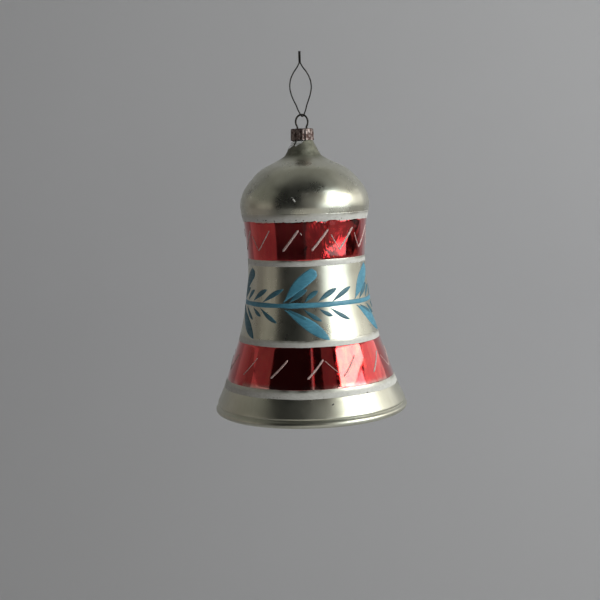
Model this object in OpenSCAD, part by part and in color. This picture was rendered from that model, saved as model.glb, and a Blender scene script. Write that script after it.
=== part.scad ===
// Blown-glass Christmas bell ornament: a silvered double-walled bell with painted bands,
// a crimped metal cap, a sprung wire ring, a wire hanging loop and a swinging clapper.
// Millimetres, +Z up, origin at the centre of the rim's standing plane, front towards -Y.
// Angles round the bell are measured from the front (-Y) towards +X.

/* [Glass] */
// Thickness of the blown glass
wall = 0.8; // [0.7:0.05:0.85]
// Radius of the bell at the widest line of its rim
rim_r = 33; // [32.9:0.05:33.1]
// Radius of the rolled bead at the rim
bead_r = 1.2; // [1.1:0.05:1.25]
// Width of the flat that the rim stands on
rim_flat = 0.8; // [0.4:0.1:0.9]
// Height of the inner bell's crown above the rim
crown_z = 62.3; // [61:0.1:63]
// Thickness of the silvering
silver_t = 0.05; // [0.05:0.05:0.15]

/* [Paint] */
// Thickness of the red lacquer
lacquer_t = 0.1; // [0.05:0.05:0.15]
// Thickness of the white stripes
stripe_t = 0.15; // [0.1:0.05:0.2]
// Thickness of the blue paint
blue_t = 0.2; // [0.1:0.05:0.3]
// Thickness of the zigzag line over the lacquer
zigzag_t = 0.2; // [0.1:0.05:0.3]
// Waves in the upper zigzag
upper_waves = 13; // [11:1:15]
// Waves in the lower zigzag
lower_waves = 14; // [12:1:16]

/* [Cap and ring] */
// Outer radius of the cap's skirt, at mid-flute
cap_r = 3.9; // [3.85:0.05:4.1]
// Sheet thickness of the cap
cap_t = 0.25; // [0.2:0.05:0.25]
// Height of the cap's skirt and top together
cap_h = 3.9; // [3.7:0.1:4]
// Flutes crimped round the cap's skirt
cap_flutes = 18; // [12:2:24]
// Depth of a flute, from mid-flute to crest
flute_depth = 0.1; // [0.05:0.01:0.12]
// Wire radius of the sprung ring
ring_wire_r = 0.3; // [0.25:0.05:0.3]
// Centreline radius of the ring's top arc
ring_r = 1.98; // [1.95:0.01:2]

/* [Hanging loop] */
// Wire radius of the hanging loop
hanger_wire_r = 0.22; // [0.18:0.02:0.22]
// Widest half width of the hanging loop
hanger_half_w = 3.6; // [3.2:0.1:4]
// Turns in the twist that closes the loop
twist_turns = 3; // [2:1:4]

/* [Clapper] */
// Radius of the clapper's bead
bead_ball_r = 4.5; // [3.5:0.1:4.8]
// Height of the bead's centre above the rim
bead_ball_z = 12; // [11.5:0.1:14]
// Wire radius of the clapper and its link
clapper_wire_r = 0.3; // [0.2:0.05:0.3]
// Wire radius of the eyelet in the crown
eyelet_wire_r = 0.4; // [0.3:0.05:0.45]

/* [Hidden] */

$fn = 48;
gap = 0.05;                 // running gap between linked wires
silver_colour = [0.78, 0.78, 0.70];
red_colour = [0.75, 0.06, 0.07];
white_colour = [0.85, 0.84, 0.80];
blue_colour = [0.20, 0.48, 0.62];
line_colour = [0.90, 0.80, 0.78];
cap_colour = [0.62, 0.50, 0.46];
wire_colour = [0.12, 0.12, 0.12];

// Height at which the silvering stops, below the cap
silver_top_z = 89.5;
// Heights of the painted zones
skirt_stripe_z = [9.2, 11.7];
lower_band_z = [11.7, 25];
waist_bottom_stripe_z = [25, 27];
waist_top_stripe_z = [51, 52.8];
upper_band_z = [52.8, 65.4];
dome_stripe_z = [65.4, 67.8];
// Lowest and highest points of the two zigzags
upper_line_z = [55.8, 62.9];
lower_line_z = [14.9, 21.3];

// Outer outline of the glass from the groove over the rim bead to the top of the neck, [radius, height]
neck_top = [3.4, 95.4];
outer_knots = [[32.15, 2.65], [32.35, 3.2], [31.15, 6], [29.75, skirt_stripe_z[0]],
    [28.8, lower_band_z[0]], [26.6, 18], [24.15, lower_band_z[1]], [23.6, waist_bottom_stripe_z[1]],
    [22.15, 33], [20.9, 40], [20.25, 46], [20, waist_top_stripe_z[0]], [19.98, upper_band_z[0]], [20.3, 59],
    [21, upper_band_z[1]], [21.6, dome_stripe_z[1]], [21.9, 71], [20.8, 75], [18, 79], [14.3, 82.5],
    [9.4, 85], [6.2, 86.9], [4.75, silver_top_z], [3.5, 92], neck_top];
// Inner bell, seen from the mouth, from the rim bead up to the crown
crown_flat_r = 1.6;
inner_knots = [[rim_r - 2 * bead_r, bead_r], [29.9, 3], [28.6, 6], [25.4, 13], [22.2, 21], [19.2, 30],
    [16.6, 40], [14.4, 49], [11.2, 56.5], [6.4, 61], [crown_flat_r, crown_z]];

// A smooth curve through knots: cubic spans whose tangents follow the chord lengths
function chord(k, i) = norm(k[i + 1] - k[i]);
function tangent(k, i) =
    i == 0 ? (k[1] - k[0]) / chord(k, 0) :
    i == len(k) - 1 ? (k[i] - k[i - 1]) / chord(k, i - 1) :
    (k[i + 1] - k[i - 1]) / (chord(k, i) + chord(k, i - 1));
function hermite(k, i, t) =
    let (d = chord(k, i), t2 = t * t, t3 = t * t * t)
    (2 * t3 - 3 * t2 + 1) * k[i] + (t3 - 2 * t2 + t) * d * tangent(k, i)
    + (3 * t2 - 2 * t3) * k[i + 1] + (t3 - t2) * d * tangent(k, i + 1);
function spans(k, i, step) = max(2, ceil(chord(k, i) / step));
function curve(k, step) = [
    for (i = [0 : len(k) - 2], n = spans(k, i, step), s = [0 : n - 1]) hermite(k, i, s / n),
    k[len(k) - 1]];

// A line moved sideways by d; positive is to the right of its direction of travel
function side(p, i) =
    let (a = p[max(0, i - 1)], b = p[min(len(p) - 1, i + 1)], u = (b - a) / norm(b - a))
    [u[1], -u[0]];
function moved(p, d) = [for (i = [0 : len(p) - 1]) p[i] + d * side(p, i)];
function reversed(p) = [for (i = [len(p) - 1 : -1 : 0]) p[i]];
function between(p, low, high) = [for (q = p) if (q[1] > low - 0.001 && q[1] < high + 0.001) q];
function arc(centre, r, from, to, n) = [
    for (s = [0 : n]) centre + r * [cos(from + (to - from) * s / n), sin(from + (to - from) * s / n)]];

profile_step = 1.6;
outer = curve(outer_knots, profile_step);
inner = curve(inner_knots, profile_step);
outer_inside = between(moved(outer, -wall), 3.6, 200);
inner_inside = between(moved(inner, wall), 3.6, 200);
// The lowest point between the two walls, just above the rim bead
cavity_floor = [(outer_inside[0][0] + inner_inside[0][0]) / 2 + 0.45, 2.6];
cavity = concat([[neck_top[0] - wall, neck_top[1]]], reversed(outer_inside), [cavity_floor],
    inner_inside, [[0, crown_z + wall]]);

// The rim bead runs from the groove, round its outer side and the flat, to the inner bell
bead_centre = [rim_r - bead_r, bead_r];
groove_angle = 62;
bead_outline = concat(
    arc(bead_centre, bead_r, groove_angle, -60, 10),
    [bead_centre + [rim_flat / 2, -bead_r], bead_centre + [-rim_flat / 2, -bead_r]],
    arc(bead_centre, bead_r, -120, -170, 5));

module glass_bell() {
    color(silver_colour)
    rotate_extrude($fn = 180)
        polygon(concat(reversed(outer), bead_outline, inner, [[0, crown_z]], reversed(cavity)));
}

// The silvering is a skin on the cavity's walls, below the clear part of the neck
module silver_lining() {
    skin = [for (q = cavity) if (q[1] < silver_top_z + 0.3) q];
    skin_inside = [for (q = moved(skin, silver_t)) [max(0, q[0]), q[1]]];
    color(silver_colour)
    rotate_extrude($fn = 180)
        polygon(concat(skin, reversed(skin_inside)));
}

// A layer of paint on the outside of the glass, between two heights
module layer(z, from, to) {
    path = [for (i = [0 : len(outer) - 1])
        if (outer[i][1] > z[0] - 0.001 && outer[i][1] < z[1] + 0.001) i];
    inside = [for (i = path) outer[i] + from * side(outer, i)];
    outside = [for (i = path) outer[i] + to * side(outer, i)];
    rotate_extrude($fn = 180)
        polygon(concat(outside, reversed(inside)));
}

// An outline drawn on the tangent plane at an angle round the bell, cut from a layer
module stamp(angle) {
    rotate([0, 0, angle])
    translate([0, -12, 0])
    rotate([90, 0, 0])
    linear_extrude(20)
        children();
}

// A leaf is a pointed oval from base to tip; its width is largest past the middle
function leaf_half_width(t) = sin(180 * pow(t, 0.85));
module leaf(base, tip, width) {
    along = tip - base;
    across = [-along[1], along[0]] / norm(along);
    steps = 6;
    upper = [for (s = [0 : steps]) base + along * s / steps
        + across * width / 2 * leaf_half_width(s / steps)];
    lower = [for (s = [steps - 1 : -1 : 1]) base + along * s / steps
        - across * width / 2 * leaf_half_width(s / steps)];
    polygon(concat(upper, lower));
}

stem_z = [37.3, 39.1];
// Where each sprig of the garland starts, round the bell
sprig_angles = [-24.5, 46, 118, 193, 267.5];
// Big leaf: reach round the bell in mm, tip height, width, for the upper and lower leaf
big_leaves = [[11.2, 49.3, 4.6], [13, 27.6, 4.4]];
// Small leaves: angle of the base from the sprig's start
small_leaf_steps = [5, 18, 31, 44];
small_leaf_reach = 6.2;
small_leaf_tips = [43.6, 32.8];
small_leaf_w = 2;
leaf_base_z = 38.2;

module leaf_pair(angle, reach, tips, widths) {
    for (k = [0, 1])
        stamp(angle)
            leaf([0, leaf_base_z], [reach[k], tips[k]], widths[k]);
}
module leaf_garland() {
    waist = [waist_bottom_stripe_z[1], waist_top_stripe_z[0]];
    color(blue_colour) {
        intersection() {
            layer(waist, 0, blue_t);
            translate([0, 0, stem_z[0]]) cylinder(h = stem_z[1] - stem_z[0], r = 40);
        }
        intersection() {
            layer(waist, 0, blue_t);
            union()
                for (a = sprig_angles) {
                    leaf_pair(a, [big_leaves[0][0], big_leaves[1][0]],
                        [big_leaves[0][1], big_leaves[1][1]], [big_leaves[0][2], big_leaves[1][2]]);
                    for (s = small_leaf_steps)
                        leaf_pair(a + s, [small_leaf_reach, small_leaf_reach], small_leaf_tips,
                            [small_leaf_w, small_leaf_w]);
                }
        }
    }
}

// A straight stroke of the brush
module stroke(a, b, w) {
    u = (b - a) / norm(b - a);
    n = [-u[1], u[0]] * w / 2;
    polygon([a + n, a - n, b - n, b + n]);
}
// Each wave is a broad stroke up to the right and a fine one back down, from the first angle on
module zigzag(z, ends, waves, first, broad_w, fine_w, r) {
    pitch = 2 * PI * r / waves;
    up = 0.6 * pitch;
    color(line_colour)
    intersection() {
        layer(z, lacquer_t, lacquer_t + zigzag_t);
        union()
            for (k = [0 : waves - 1])
                stamp(first + 360 * k / waves) {
                    stroke([0, ends[0]], [up, ends[1]], broad_w);
                    stroke([up - 0.1, ends[1]], [pitch - 0.1, ends[0]], fine_w);
                }
    }
}

// Metal cap: a flat top with two holes over a crimped skirt
cap_top_z = neck_top[1] + 0.2 + cap_t;
cap_hole_x = 1.5;
cap_hole_r = 0.5;
function fluted(r) = [for (a = [0 : 360 / (cap_flutes * 6) : 359.9])
    (r + flute_depth * cos(cap_flutes * a)) * [cos(a), sin(a)]];
module cap() {
    skirt_h = cap_h - 0.4;
    color(cap_colour) {
        difference() {
            union() {
                translate([0, 0, cap_top_z - cap_t])
                    cylinder(h = cap_t, r = cap_r - 0.15);
                translate([0, 0, cap_top_z - 0.45])
                    difference() {
                        cylinder(h = 0.4, r = cap_r - 0.02);
                        translate([0, 0, -1]) cylinder(h = 2, r = cap_r - cap_t);
                    }
                translate([0, 0, cap_top_z - cap_h])
                    linear_extrude(skirt_h)
                        difference() {
                            polygon(fluted(cap_r));
                            polygon(fluted(cap_r - cap_t));
                        }
            }
            for (x = [-cap_hole_x, cap_hole_x])
                translate([x, 0, cap_top_z - 1]) cylinder(h = 2, r = cap_hole_r);
        }
    }
}

// A straight piece of round wire between two points
module rod(a, b, r) {
    d = b - a;
    translate(a)
    rotate([0, acos(d[2] / norm(d)), atan2(d[1], d[0])])
        cylinder(h = norm(d), r = r);
}
// Rods end to end, with a slightly fuller ball at every bend
module wire(points, r) {
    for (i = [0 : len(points) - 2]) rod(points[i], points[i + 1], r);
    for (q = points) translate(q) sphere(r = 1.03 * r);
}
// Part of a wire ring in the XZ plane, from one angle above +X to another
module wire_arc(centre, r, from, to, wire_radius) {
    translate([centre[0], 0, centre[1]])
    rotate([90, 0, 0])
    rotate([0, 0, from])
    rotate_extrude(angle = to - from, $fn = 96)
        translate([r, 0]) circle(r = wire_radius);
}

// Sprung ring: a round top, straighter sides and two legs that spread inside the neck
ring_top_z = 100.55;
ring_centre = [0, ring_top_z - ring_r];
ring_end = -14;
ring_foot = ring_centre + ring_r * [cos(ring_end), sin(ring_end)];
leg = [ring_foot, [cap_hole_x, 95.9], [1.45, 94.9], [1.7, 93.2], [2.15, 91.8], [3.15, 89.7], [3.7, 88.5]];
module ring_clip() {
    color(wire_colour) {
        wire_arc(ring_centre, ring_r, ring_end, 180 - ring_end, ring_wire_r);
        wire([for (q = leg) [q[0], 0, q[1]]], ring_wire_r);
        wire([for (q = leg) [-q[0], 0, q[1]]], ring_wire_r);
    }
}

// Hanging loop: a soft wire through the ring, its two ends twisted together
hook_gap = 0.1;
hook_z = ring_top_z - ring_wire_r - hanger_wire_r - hook_gap;
twist_z = [117.6, 121.4];
twist_r = hanger_wire_r + 0.02;
// Half of the loop from the bottom up: sideways, front to back, height above the hook
half_loop = [[0.2, 0.46, 0.04], [0.45, 0.84, 0.4], [0.8, 1, 1.05], [1.3, 0.75, 2.2],
    [1.75, 0.45, 3.6], [2.45, 0.15, 5.3], [3.15, 0, 7.2], [hanger_half_w, 0, 9.6],
    [3.3, 0, 12.2], [2.2, 0, 14.6], [0.9, 0, 16.4]];
hook_x = 0.25;
function side_of_loop(s) = [for (q = half_loop)
    [s * q[0] + hook_x * max(0, 1 - q[2] / 6), s * q[1], hook_z + q[2]]];
function twist(s) = [for (k = [0 : 10 * twist_turns])
    let (a = 36 * k + (s > 0 ? 0 : 180))
    [twist_r * cos(a), twist_r * sin(a), twist_z[0] + (twist_z[1] - twist_z[0]) * k / (10 * twist_turns)]];
loop_line = curve(concat([twist(-1)[0]], reversed(side_of_loop(-1)), [[hook_x, 0, hook_z]],
    side_of_loop(1), [twist(1)[0]]), 0.9);
hanger_line = concat(reversed(twist(-1)), [for (i = [1 : len(loop_line) - 2]) loop_line[i]], twist(1));

// A round tube along a line of points, as one closed skin
function unit(v) = v / norm(v);
function heading(p, i) = unit(p[min(len(p) - 1, i + 1)] - p[max(0, i - 1)]);
function frame_at(p, i) =
    let (t = heading(p, i), u = unit(cross(t, [0.1, 1, 0.05])))
    [u, cross(u, t)];
module tube(p, r, sides) {
    rings = [for (i = [0 : len(p) - 1], k = [0 : sides - 1])
        let (f = frame_at(p, i), a = 360 * k / sides)
        p[i] + r * (cos(a) * f[0] + sin(a) * f[1])];
    n = len(p);
    walls = [for (i = [0 : n - 2], k = [0 : sides - 1])
        let (a = i * sides + k, b = i * sides + (k + 1) % sides)
        each [[a, b, b + sides], [a, b + sides, a + sides]]];
    polyhedron(rings, concat(walls,
        [[for (k = [sides - 1 : -1 : 0]) k]],
        [[for (k = [0 : sides - 1]) (n - 1) * sides + k]]));
}
module hanging_wire() {
    color(wire_colour) tube(hanger_line, hanger_wire_r, 8);
}

// Clapper: an eyelet fused to the crown, a link, and a wire that carries the bead
module wire_ring(z, r, wire_radius) {
    translate([0, 0, z])
    rotate([90, 0, 0])
    rotate_extrude($fn = 96)
        translate([r, 0]) circle(r = wire_radius);
}
eyelet_r = 1.5;
eyelet_z = crown_z - 0.4 - eyelet_r;
link_r = 1.3;
eyelet_low_z = eyelet_z - eyelet_r;
link_z = eyelet_low_z + eyelet_wire_r + gap + clapper_wire_r - link_r;
link_low_z = link_z - link_r;
eye_r = 1.15;
eye_z = link_low_z + 2 * clapper_wire_r + gap - eye_r;
curl_r = 0.8;
curl_z = bead_ball_z - bead_ball_r - curl_r - clapper_wire_r;
module clapper_eyelet() {
    color(silver_colour) {
        wire_ring(eyelet_z, eyelet_r, eyelet_wire_r);
        translate([0, 0, crown_z - 0.5]) cylinder(h = 0.5, r1 = 0.7, r2 = 1.2);
    }
}
module clapper_link() {
    color(wire_colour) rotate([0, 0, 90]) wire_ring(link_z, link_r, clapper_wire_r);
}
module clapper_wire() {
    color(wire_colour) {
        wire_ring(eye_z, eye_r, clapper_wire_r);
        translate([0, 0, curl_z + curl_r])
            cylinder(h = eye_z - eye_r - curl_z - curl_r, r = clapper_wire_r);
        wire_ring(curl_z, curl_r, clapper_wire_r);
    }
}
bead_bore_r = clapper_wire_r + 0.05;
module clapper_bead() {
    color(silver_colour)
    difference() {
        translate([0, 0, bead_ball_z]) sphere(r = bead_ball_r, $fn = 96);
        translate([0, 0, bead_ball_z - 10]) cylinder(h = 20, r = bead_bore_r);
    }
}

glass_bell();
silver_lining();
color(red_colour) layer(upper_band_z, 0, lacquer_t);  // upper_red_band
color(red_colour) layer(lower_band_z, 0, lacquer_t);  // lower_red_band
color(white_colour) layer(dome_stripe_z, 0, stripe_t);  // dome_stripe
color(white_colour) layer(waist_top_stripe_z, 0, stripe_t);  // waist_top_stripe
color(white_colour) layer(waist_bottom_stripe_z, 0, stripe_t);  // waist_bottom_stripe
color(white_colour) layer(skirt_stripe_z, 0, stripe_t);  // skirt_stripe
leaf_garland();
zigzag(upper_band_z, upper_line_z, upper_waves, 5, 0.9, 0.5, 20.3);  // upper_zigzag
zigzag(lower_band_z, lower_line_z, lower_waves, -2.5, 0.7, 0.4, 26.5);  // lower_zigzag
clapper_eyelet();
cap();
ring_clip();
hanging_wire();
clapper_link();
clapper_wire();
clapper_bead();
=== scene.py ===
"""A silvered blown-glass Christmas bell with painted bands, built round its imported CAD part.

Everything is in metres, in the CAD part's own frame: +Z up, front towards -Y, origin at the centre
of the rim. Angles round the bell run from the front (-Y) towards +X.
"""

import math

import bmesh
import bpy
import numpy as np
from mathutils import Matrix, Vector, noise
from mathutils.bvhtree import BVHTree


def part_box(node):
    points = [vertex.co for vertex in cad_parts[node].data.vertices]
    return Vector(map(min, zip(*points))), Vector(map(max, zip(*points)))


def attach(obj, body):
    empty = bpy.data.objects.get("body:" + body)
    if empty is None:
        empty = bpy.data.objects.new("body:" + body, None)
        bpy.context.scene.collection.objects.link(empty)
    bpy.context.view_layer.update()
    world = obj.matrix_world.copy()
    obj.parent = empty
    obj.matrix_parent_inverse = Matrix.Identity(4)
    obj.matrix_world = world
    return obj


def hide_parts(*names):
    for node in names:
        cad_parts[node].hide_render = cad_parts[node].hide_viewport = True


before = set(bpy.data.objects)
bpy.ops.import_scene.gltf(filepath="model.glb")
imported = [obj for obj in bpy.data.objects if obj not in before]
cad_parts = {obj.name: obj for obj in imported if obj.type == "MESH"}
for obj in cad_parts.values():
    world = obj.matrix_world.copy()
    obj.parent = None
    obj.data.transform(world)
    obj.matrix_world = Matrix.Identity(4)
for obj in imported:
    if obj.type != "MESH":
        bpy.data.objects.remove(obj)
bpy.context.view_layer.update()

MM = 0.001
TURN = 2 * math.pi
BELL_COLUMNS = 360  # facets round the bell
PAINT_COLUMNS = 540  # facets round a band of paint
PAINT_SINK = 0.03 * MM  # how far a paint layer reaches into the glass, so that no gap shows
AXIS_R = 1e-9  # a ring smaller than this is a point on the axis
WELD = 1e-7  # points closer than this become one
NOISE_CIRCLE_R = 0.02  # radius of the circle that ripple() walks round through the noise
SEED_SHIFT = (7.3, 3.1)  # how far one seed lies from the next in the noise, across and up
WIRE_END = ((0.4, 0.9), (0.8, 0.6))  # a rounded end: (share of the radius, shares of it past the end)
NOT_ALONG = (0.31, 0.9, 0.2)  # a direction that no wire here starts along


# ---------------------------------------------------------------- shape helpers
def smooth_line(knots, step):
    """Points about step apart on the cubic curve through the knots, with chord-length tangents."""
    knots = np.asarray(knots, float)
    chords = np.linalg.norm(np.diff(knots, axis=0), axis=1)
    tangents = np.empty_like(knots)
    tangents[0] = (knots[1] - knots[0]) / chords[0]
    tangents[-1] = (knots[-1] - knots[-2]) / chords[-1]
    tangents[1:-1] = (knots[2:] - knots[:-2]) / (chords[1:] + chords[:-1])[:, None]
    points = []
    for i, chord in enumerate(chords):
        count = max(2, math.ceil(chord / step))
        for t in np.arange(count) / count:
            points.append(
                (2 * t**3 - 3 * t**2 + 1) * knots[i]
                + (t**3 - 2 * t**2 + t) * chord * tangents[i]
                + (3 * t**2 - 2 * t**3) * knots[i + 1]
                + (t**3 - t**2) * chord * tangents[i + 1]
            )
    points.append(knots[-1])
    return np.array(points)


def ripple(angle, height, wavelength, seed):
    """Smooth noise from -1 to 1 that closes round the bell. Wavelength and height are in metres."""
    k = NOISE_CIRCLE_R / wavelength
    across = k * math.sin(angle) + SEED_SHIFT[0] * seed
    up = height / wavelength + SEED_SHIFT[1] * seed
    return noise.noise(Vector((across, k * math.cos(angle), up)))


def ring_quads(rings, sides, rings_close, sides_close):
    """Quads of a grid whose rings lie one after another, each with the same number of sides."""
    faces = []
    for i in range(rings if rings_close else rings - 1):
        for k in range(sides if sides_close else sides - 1):
            a, b = i * sides + k, i * sides + (k + 1) % sides
            c, d = (i + 1) % rings * sides + (k + 1) % sides, (i + 1) % rings * sides + k
            faces.append((a, b, c, d))
    return faces


def tube(rings, closed):
    """Points and faces of a skin over rings of points, joined end to end or capped."""
    rings = np.asarray(rings)
    count, sides = rings.shape[:2]
    faces = ring_quads(count, sides, closed, True)
    if not closed:
        faces.append(tuple(range(sides)))
        faces.append(tuple(range((count - 1) * sides, count * sides)))
    return rings.reshape(-1, 3), faces


def joined(parts):
    """Several (points, faces) as one."""
    points, faces, start = [], [], 0
    for part_points, part_faces in parts:
        points.append(part_points)
        faces += [tuple(start + v for v in face) for face in part_faces]
        start += len(part_points)
    return np.vstack(points), faces


def lathe(profile, columns=BELL_COLUMNS):
    """A closed outline of (radius, height) turned round Z. Points on the axis become single points."""
    points, faces, rows = [], [], []
    for radius, height in profile:
        if radius < AXIS_R:
            rows.append([len(points)] * columns)
            points.append((0.0, 0.0, height))
            continue
        rows.append(list(range(len(points), len(points) + columns)))
        for k in range(columns):
            a = TURN * k / columns
            points.append((radius * math.sin(a), -radius * math.cos(a), height))
    for low, high in zip(rows, rows[1:] + rows[:1]):
        for k in range(columns):
            n = (k + 1) % columns
            corners = [low[k], low[n], high[n], high[k]]
            face = tuple(dict.fromkeys(corners))
            if len(face) > 2:
                faces.append(face)
    return np.array(points), faces


def wire(line, radius, sides=12, closed=False):
    """A round wire along a line of points, with its ends rounded over if it is open."""
    line = np.asarray(line, float)
    if closed:
        ahead, behind = np.roll(line, -1, axis=0), np.roll(line, 1, axis=0)
    else:
        ahead, behind = np.vstack([line[1:], line[-1:]]), np.vstack([line[:1], line[:-1]])
    heading = ahead - behind
    heading /= np.linalg.norm(heading, axis=1)[:, None]
    across = np.cross(heading[0], NOT_ALONG)
    rings = []
    for point, along in zip(line, heading):
        across = across - along * across.dot(along)
        across /= np.linalg.norm(across)
        other = np.cross(along, across)
        angles = TURN * np.arange(sides) / sides
        rings.append(
            point + radius * (np.cos(angles)[:, None] * across + np.sin(angles)[:, None] * other)
        )
    if not closed:
        start, end = [], []
        for share, past in WIRE_END:
            start.append(line[0] + (rings[0] - line[0]) * share - heading[0] * radius * past)
            end.insert(0, line[-1] + (rings[-1] - line[-1]) * share + heading[-1] * radius * past)
        rings = start + rings + end
    return tube(rings, closed)


def mesh_piece(name, shape, material, body, stands_for=(), sharp=None):
    """A named piece of mesh that rides on a body, takes a material slot and hides the CAD nodes it stands
    for.
    """
    points, faces = shape
    mesh = bpy.data.meshes.new(name)
    mesh.from_pydata([tuple(p) for p in points], [], faces)
    skin = bmesh.new()
    skin.from_mesh(mesh)
    bmesh.ops.remove_doubles(skin, verts=skin.verts, dist=WELD)
    bmesh.ops.recalc_face_normals(skin, faces=skin.faces)
    skin.to_mesh(mesh)
    skin.free()
    mesh.polygons.foreach_set("use_smooth", [True] * len(mesh.polygons))
    if sharp:
        mesh.set_sharp_from_angle(angle=math.radians(sharp))
    mesh.materials.append(material)
    piece = bpy.data.objects.new(name, mesh)
    bpy.context.scene.collection.objects.link(piece)
    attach(piece, body)
    if stands_for:
        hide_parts(*stands_for)
    return piece


# ---------------------------------------------------------------- the bell's surface, from the CAD part
SAME_RING = 0.05 * MM  # CAD points closer than this in height belong to one ring
CENTRE_R = 0.5 * MM  # points nearer to the axis than this are left out of a profile
RAY_LIFT = 1e-6  # a ray passes this far above a ring's points, clear of the edges between them
FACET_SLACK = 0.03 * MM  # how far from its points' radius a ring may be hit


def cad_profile(node, from_outside):
    """The rings of a turned CAD node as [radius, height], upwards, on the side that is seen."""
    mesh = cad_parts[node].data
    tree = BVHTree.FromPolygons([v.co for v in mesh.vertices], [p.vertices for p in mesh.polygons])
    far = 2 * max(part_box(node)[1])
    rings = {}
    for v in mesh.vertices:
        radius, height = v.co.xy.length, v.co.z
        key = round(height / SAME_RING)
        if radius < CENTRE_R or key in rings:
            continue
        out = Vector((v.co.x, v.co.y, 0)) / radius
        level = Vector((0, 0, height + RAY_LIFT))
        start = level + out * (far if from_outside else 0)
        hit = tree.ray_cast(start, -out if from_outside else out)[0]
        if hit is not None and abs(hit.xy.length - radius) < FACET_SLACK:
            rings[key] = (radius, height)
    return np.array([rings[k] for k in sorted(rings)])


BEAD_R = 1.2 * MM  # the rolled rim
GROOVE_Z = 2.6 * MM  # the groove between the rim bead and the wall
WALL = 0.8 * MM
NECK_SEAM_Z = 87.4 * MM  # the clear glass starts here, under the silver
SLEEVE_Z = 88 * MM  # above this the silver's edge is uneven
SILVER_LIP_Z = 91.2 * MM  # mean height of that edge

rings_seen = cad_profile("glass_bell", True)
rings_seen = rings_seen[rings_seen[:, 1] > GROOVE_Z - SAME_RING]
NECK_TOP_Z = rings_seen[-1, 1]
outside = smooth_line(rings_seen, 0.25 * MM)
mouth_side = cad_profile("glass_bell", False)
CROWN_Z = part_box("clapper_eyelet")[1].z
mouth_side = mouth_side[(mouth_side[:, 1] > BEAD_R - SAME_RING) & (mouth_side[:, 1] < CROWN_Z + 1 * MM)]
slope = np.gradient(outside, axis=0)
slope /= np.linalg.norm(slope, axis=1)[:, None]
facing = np.stack([slope[:, 1], -slope[:, 0]], axis=1)


def radius_at(height):
    """Radius of the bell's outside at a height."""
    return np.interp(height, outside[:, 1], outside[:, 0])


def on_skin(angle, height, lift):
    """Points on the bell at angles (radians) and heights, raised off the glass by lift."""
    angle, height, lift = np.broadcast_arrays(angle, height, lift)
    out = np.interp(height, outside[:, 1], facing[:, 0])
    up = np.interp(height, outside[:, 1], facing[:, 1])
    radius = radius_at(height) + lift * out
    return np.stack([radius * np.sin(angle), -radius * np.cos(angle), height + lift * up], axis=-1)


# ---------------------------------------------------------------- materials
class Material:
    """A node material with short calls for the nodes that this scene uses."""

    def __init__(self, name, **sockets):
        self.data = bpy.data.materials.new(name)
        self.data.use_nodes = True
        self.nodes, self.links = self.data.node_tree.nodes, self.data.node_tree.links
        self.shader = self.nodes["Principled BSDF"]
        for socket, value in sockets.items():
            self.shader.inputs[socket.replace("_", " ")].default_value = value
        self.place = self.nodes.new("ShaderNodeTexCoord").outputs["Object"]

    def stretched(self, x, y, z):
        """Object coordinates with each axis scaled: a small factor draws a pattern out along it."""
        node = self.nodes.new("ShaderNodeMapping")
        node.inputs["Scale"].default_value = (x, y, z)
        self.links.new(self.place, node.inputs["Vector"])
        return node.outputs["Vector"]

    def noise(self, size, detail=3.0, rough=0.5, place=None, distortion=0.0):
        """Fractal noise, 0 to 1, whose features are about size metres across."""
        node = self.nodes.new("ShaderNodeTexNoise")
        node.inputs["Scale"].default_value = 1 / size
        node.inputs["Detail"].default_value = detail
        node.inputs["Roughness"].default_value = rough
        node.inputs["Distortion"].default_value = distortion
        self.links.new(place or self.place, node.inputs["Vector"])
        return node.outputs["Fac"]

    def cells(self, size):
        """Distance from the nearest of scattered points about size metres apart, in units of size."""
        node = self.nodes.new("ShaderNodeTexVoronoi")
        node.inputs["Scale"].default_value = 1 / size
        self.links.new(self.place, node.inputs["Vector"])
        return node.outputs["Distance"]

    def along(self, axis):
        """Object coordinate in metres: "X" is to the right of the axis, and "Z" above the rim."""
        node = self.nodes.new("ShaderNodeSeparateXYZ")
        self.links.new(self.place, node.inputs["Vector"])
        return node.outputs[axis]

    def ramp(self, value, low, high, to_low=0.0, to_high=1.0):
        """value carried from low..high to to_low..to_high, smoothly, and held beyond."""
        node = self.nodes.new("ShaderNodeMapRange")
        node.interpolation_type = "SMOOTHSTEP"
        for socket, number in zip(("From Min", "From Max", "To Min", "To Max"), (low, high, to_low, to_high)):
            node.inputs[socket].default_value = number
        self.links.new(value, node.inputs["Value"])
        return node.outputs["Result"]

    def math(self, operation, a, b):
        """a and b put together by an operation; each is a number or an output."""
        node = self.nodes.new("ShaderNodeMath")
        node.operation = operation
        for socket, value in zip(node.inputs, (a, b)):
            if isinstance(value, (int, float)):
                socket.default_value = value
            else:
                self.links.new(value, socket)
        return node.outputs[0]

    def mix(self, amount, a, b):
        """Colour a where amount is 0 and b where it is 1; each is a colour or an output."""
        node = self.nodes.new("ShaderNodeMix")
        node.data_type = "RGBA"
        self.links.new(amount, node.inputs["Factor"])
        for socket, value in ((node.inputs[6], a), (node.inputs[7], b)):
            if isinstance(value, tuple):
                socket.default_value = (*value, 1)
            else:
                self.links.new(value, socket)
        return node.outputs[2]

    def set(self, socket, value):
        """Leads an output into a socket of the shader."""
        self.links.new(value, self.shader.inputs[socket])

    def bump(self, value, depth, strength):
        """Relief of depth metres from a 0 to 1 value, added to any relief set before."""
        node = self.nodes.new("ShaderNodeBump")
        node.inputs["Strength"].default_value = strength
        node.inputs["Distance"].default_value = depth
        self.links.new(value, node.inputs["Height"])
        before = self.shader.inputs["Normal"].links
        if before:
            self.links.new(before[0].from_socket, node.inputs["Normal"])
        self.links.new(node.outputs["Normal"], self.shader.inputs["Normal"])


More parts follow.
